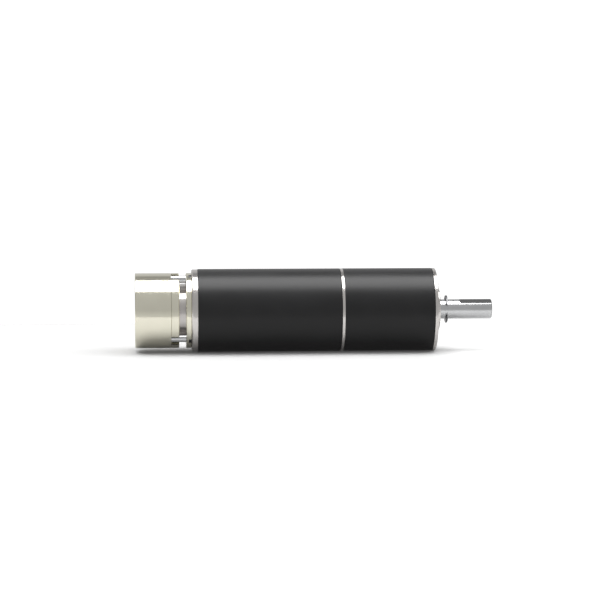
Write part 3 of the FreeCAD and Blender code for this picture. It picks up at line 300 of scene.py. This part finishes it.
def floor():
    """Pale sheet that the casing lies on, glowing faintly, with painted light under the shaft that only the
    camera sees.
    """
    left, right = FLOOR_X
    front, back = FLOOR_Y
    corners = [(x, y, cad_low.z) for x, y in ((left, front), (right, front), (right, back), (left, back))]
    mesh = bpy.data.meshes.new("floor")
    mesh.from_pydata(corners, [], [(0, 1, 2, 3)])
    made = bpy.data.objects.new("floor", mesh)
    bpy.context.scene.collection.objects.link(made)
    material, tree, shader = new_material("floor")
    paper = noise(tree, place(tree), 8.0)
    colour = tint(tree, paper, (0.215, 0.215, 0.215), (0.222, 0.222, 0.222))
    tree.links.new(colour, shader.inputs["Base Color"])
    shader.inputs["Roughness"].default_value = 0.9
    shader.inputs["Specular IOR Level"].default_value = 0.1
    shader.inputs["Emission Color"].default_value = (1.0, 1.0, 1.0, 1.0)
    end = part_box("front_flange")[1].x
    # Painted light on the floor under the shaft, seen by the camera alone, which lightens the shaft's shadow.
    glow = add(tree, "ShaderNodeMapRange", interpolation_type="SMOOTHSTEP",
               From_Min=end + GLOW_FROM, From_Max=end + GLOW_TO, To_Max=SHAFT_PAINTED_GLOW)
    tree.links.new(from_axis(tree)[0], glow.inputs["Value"])
    seen = add(tree, "ShaderNodeLightPath")
    strength = add(tree, "ShaderNodeMath", operation="MULTIPLY_ADD")
    tree.links.new(glow.outputs["Result"], strength.inputs[0])
    tree.links.new(seen.outputs["Is Camera Ray"], strength.inputs[1])
    strength.inputs[2].default_value = FLOOR_LIGHT
    tree.links.new(strength.outputs["Value"], shader.inputs["Emission Strength"])
    mesh.materials.append(material)


def area_lamp(name, size, place_y, height, tilt, radiance, mirrored):
    """Rectangular lamp over the middle of the object, tilted about X in degrees."""
    lamp = bpy.data.lights.new(name, "AREA")
    lamp.shape = "RECTANGLE"
    lamp.size, lamp.size_y = size
    lamp.energy = radiance * math.pi * lamp.size * lamp.size_y
    made = bpy.data.objects.new(name, lamp)
    made.location = ((cad_low.x + cad_high.x) / 2, place_y, height)
    made.rotation_euler = (math.radians(tilt), 0.0, 0.0)
    made.visible_glossy = mirrored
    bpy.context.scene.collection.objects.link(made)


def lights():
    """Long softbox that draws the bright band along the metal, and two fills that open the shadows."""
    reach_front = SOFTBOX_HEIGHT / math.tan(math.radians(SOFTBOX_FRONT_ANGLE))
    reach_back = SOFTBOX_HEIGHT / math.tan(math.radians(SOFTBOX_BACK_ANGLE))
    area_lamp("softbox", size=(SOFTBOX_LENGTH, reach_front + reach_back),
              place_y=(reach_back - reach_front) / 2, height=SOFTBOX_HEIGHT,
              tilt=0, radiance=6.0, mirrored=True)
    area_lamp("front_fill", size=(1.6, 0.3), place_y=-0.9, height=0.13, tilt=80, radiance=2.5, mirrored=False)
    area_lamp("top_fill", size=(3.0, 3.0), place_y=0.0, height=1.0, tilt=0, radiance=3.0, mirrored=False)


def height_angle(tree):
    """Place on a ramp from -180 to 180 degrees of the direction's height angle over the front horizon."""
    coordinates = add(tree, "ShaderNodeTexCoord")
    split = add(tree, "ShaderNodeSeparateXYZ")
    tree.links.new(coordinates.outputs["Generated"], split.inputs["Vector"])
    toward_front = add(tree, "ShaderNodeMath", operation="MULTIPLY")
    tree.links.new(split.outputs["Y"], toward_front.inputs[0])
    toward_front.inputs[1].default_value = -1.0
    angle = add(tree, "ShaderNodeMath", operation="ARCTAN2")
    tree.links.new(split.outputs["Z"], angle.inputs[0])
    tree.links.new(toward_front.outputs["Value"], angle.inputs[1])
    scaled = add(tree, "ShaderNodeMapRange", From_Min=-math.pi, From_Max=math.pi)
    tree.links.new(angle.outputs["Value"], scaled.inputs["Value"])
    return scaled.outputs["Result"]


def room():
    """Grey studio walls that the metal mirrors, white where the camera looks straight at them."""
    world = bpy.data.worlds.new("room")
    world.use_nodes = True
    tree = world.node_tree
    tree.nodes.clear()
    walls = add(tree, "ShaderNodeValToRGB")
    elements = walls.color_ramp.elements
    elements[0].position = 0.0
    elements[1].position = 1.0
    for angle, _ in WALLS[1:-1]:
        elements.new((angle + 180) / 360)
    for element, (_, level) in zip(elements, WALLS):
        element.color = (level, level, level, 1.0)
    tree.links.new(height_angle(tree), walls.inputs["Fac"])
    seen = add(tree, "ShaderNodeLightPath")
    strength = add(tree, "ShaderNodeMixRGB", Color2=(BACKDROP, BACKDROP, BACKDROP, 1.0))
    tree.links.new(seen.outputs["Is Camera Ray"], strength.inputs["Fac"])
    tree.links.new(walls.outputs["Color"], strength.inputs["Color1"])
    background = add(tree, "ShaderNodeBackground")
    tree.links.new(strength.outputs["Color"], background.inputs["Color"])
    output = add(tree, "ShaderNodeOutputWorld")
    tree.links.new(background.outputs["Background"], output.inputs["Surface"])
    bpy.context.scene.world = world


def camera():
    """Long lens a little above the axis, square to the brake end, so that the output end recedes."""
    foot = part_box("magnet_body")[1].x - CAMERA_FOOT
    height = CAMERA_DISTANCE * math.tan(math.radians(CAMERA_ELEVATION))
    lens = bpy.data.cameras.new("camera")
    lens.sensor_width = 36.0
    lens.lens = 149.4
    made = bpy.data.objects.new("camera", lens)
    made.location = (foot, -CAMERA_DISTANCE, height)
    made.rotation_euler = (math.pi / 2 - math.radians(CAMERA_DROP), 0.0, -math.radians(CAMERA_TURN))
    bpy.context.scene.collection.objects.link(made)
    bpy.context.scene.camera = made


dress(make_materials())
floor()
lights()
room()
camera()
bpy.context.scene.view_settings.view_transform = "Standard"
